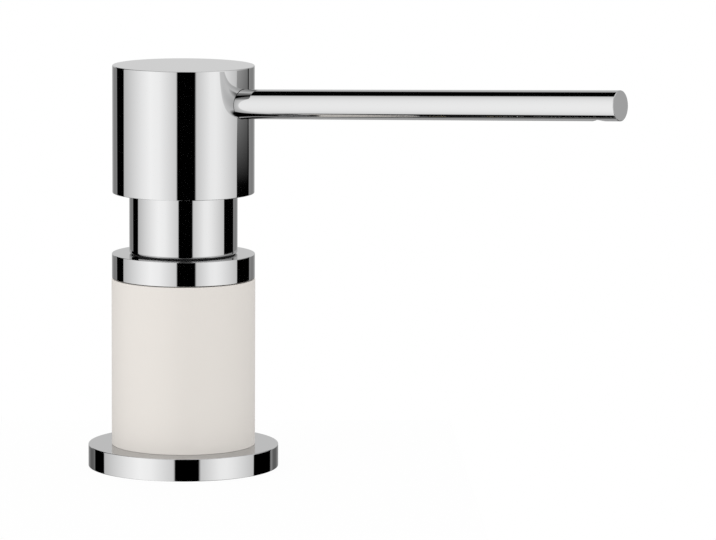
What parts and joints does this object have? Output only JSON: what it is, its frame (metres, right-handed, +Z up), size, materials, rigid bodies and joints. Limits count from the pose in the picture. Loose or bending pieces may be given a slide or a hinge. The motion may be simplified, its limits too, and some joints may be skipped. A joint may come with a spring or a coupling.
{
  "type": "built-in soap dispenser",
  "caption": "Worktop-mounted washing-up liquid dispenser with a press-down swivelling pump head, long tube spout, lift-out pump, clamp and under-counter bottle.",
  "frame": {"origin": "on the pump's axis at the level of the worktop's top face, in the middle of the worktop hole", "axes": "+Z up along the pump's axis, +X the way the spout points at rest"},
  "size_m": [0.1682, 0.074, 0.3387],
  "materials": {
    "chrome_plate": "polished chrome plate",
    "white_moulding": "satin warm white",
    "grey_plastic": "moulded",
    "clear_plastic": "natural, slightly cloudy",
    "bottle_plastic": "natural, cloudy",
    "black_rubber": "moulded",
    "steel": "stainless",
    "brass": "turned"
  },
  "bodies": {
    "base": {"base_flange": "chrome_plate", "deck_gasket": "black_rubber", "body_sleeve": "white_moulding", "collar_ring": "chrome_plate", "threaded_shank": "brass", "soap_bottle": "bottle_plastic", "bottle_seal": "black_rubber"},
    "clamp": {"clamp_gasket": "black_rubber", "clamp_washer": "steel"},
    "nut": {"clamp_nut": "grey_plastic"},
    "pump_insert": {"neck_sleeve": "chrome_plate", "insert_seal": "black_rubber", "pump_cylinder": "clear_plastic", "stem_bush": "grey_plastic", "ball_cage": "clear_plastic", "return_spring": "steel", "dip_tube": "clear_plastic"},
    "inlet_valve": {"inlet_ball": "steel"},
    "pump_rod": {"pump_stem": "clear_plastic", "piston": "grey_plastic", "piston_seal": "black_rubber"},
    "outlet_valve": {"outlet_ball": "steel"},
    "pump_head": {"head_cap": "chrome_plate", "cap_guide_ring": "grey_plastic", "head_core": "grey_plastic", "swivel_seal": "black_rubber", "spout_tube": "chrome_plate", "spout_seal": "black_rubber"}
  },
  "joints": [
    {"name": "washer_travel", "type": "slide", "parent": "base", "child": "clamp", "axis": [0, 0, 1], "range_m": [-0.0151, 0.0251]},
    {"name": "nut_turn", "type": "hinge", "parent": "clamp", "child": "nut", "pos_m": [0, 0, -0.0406], "axis": [0, 0, 1], "range_deg": [-2160, 3600]},
    {"name": "pump_lift", "type": "slide", "parent": "base", "child": "pump_insert", "axis": [0, 0, 1], "range_m": [0, 0.285]},
    {"name": "inlet_lift", "type": "slide", "parent": "pump_insert", "child": "inlet_valve", "axis": [0, 0, 1], "range_m": [0, 0.0025]},
    {"name": "head_press", "type": "slide", "parent": "pump_insert", "child": "pump_rod", "axis": [0, 0, 1], "range_m": [-0.013, 0], "stiffness_N_per_m": 600, "springref_m": 0.01, "deforming": ["return_spring"]},
    {"name": "outlet_lift", "type": "slide", "parent": "pump_rod", "child": "outlet_valve", "axis": [0, 0, 1], "range_m": [0, 0.003]},
    {"name": "head_turn", "type": "hinge", "parent": "pump_rod", "child": "pump_head", "pos_m": [0, 0, 0.09], "axis": [0, 0, 1], "continuous": true}
  ],
  "couplings": [
    {"joint": "washer_travel", "follows": "nut_turn", "m_per_rad": 0.00039789}
  ]
}
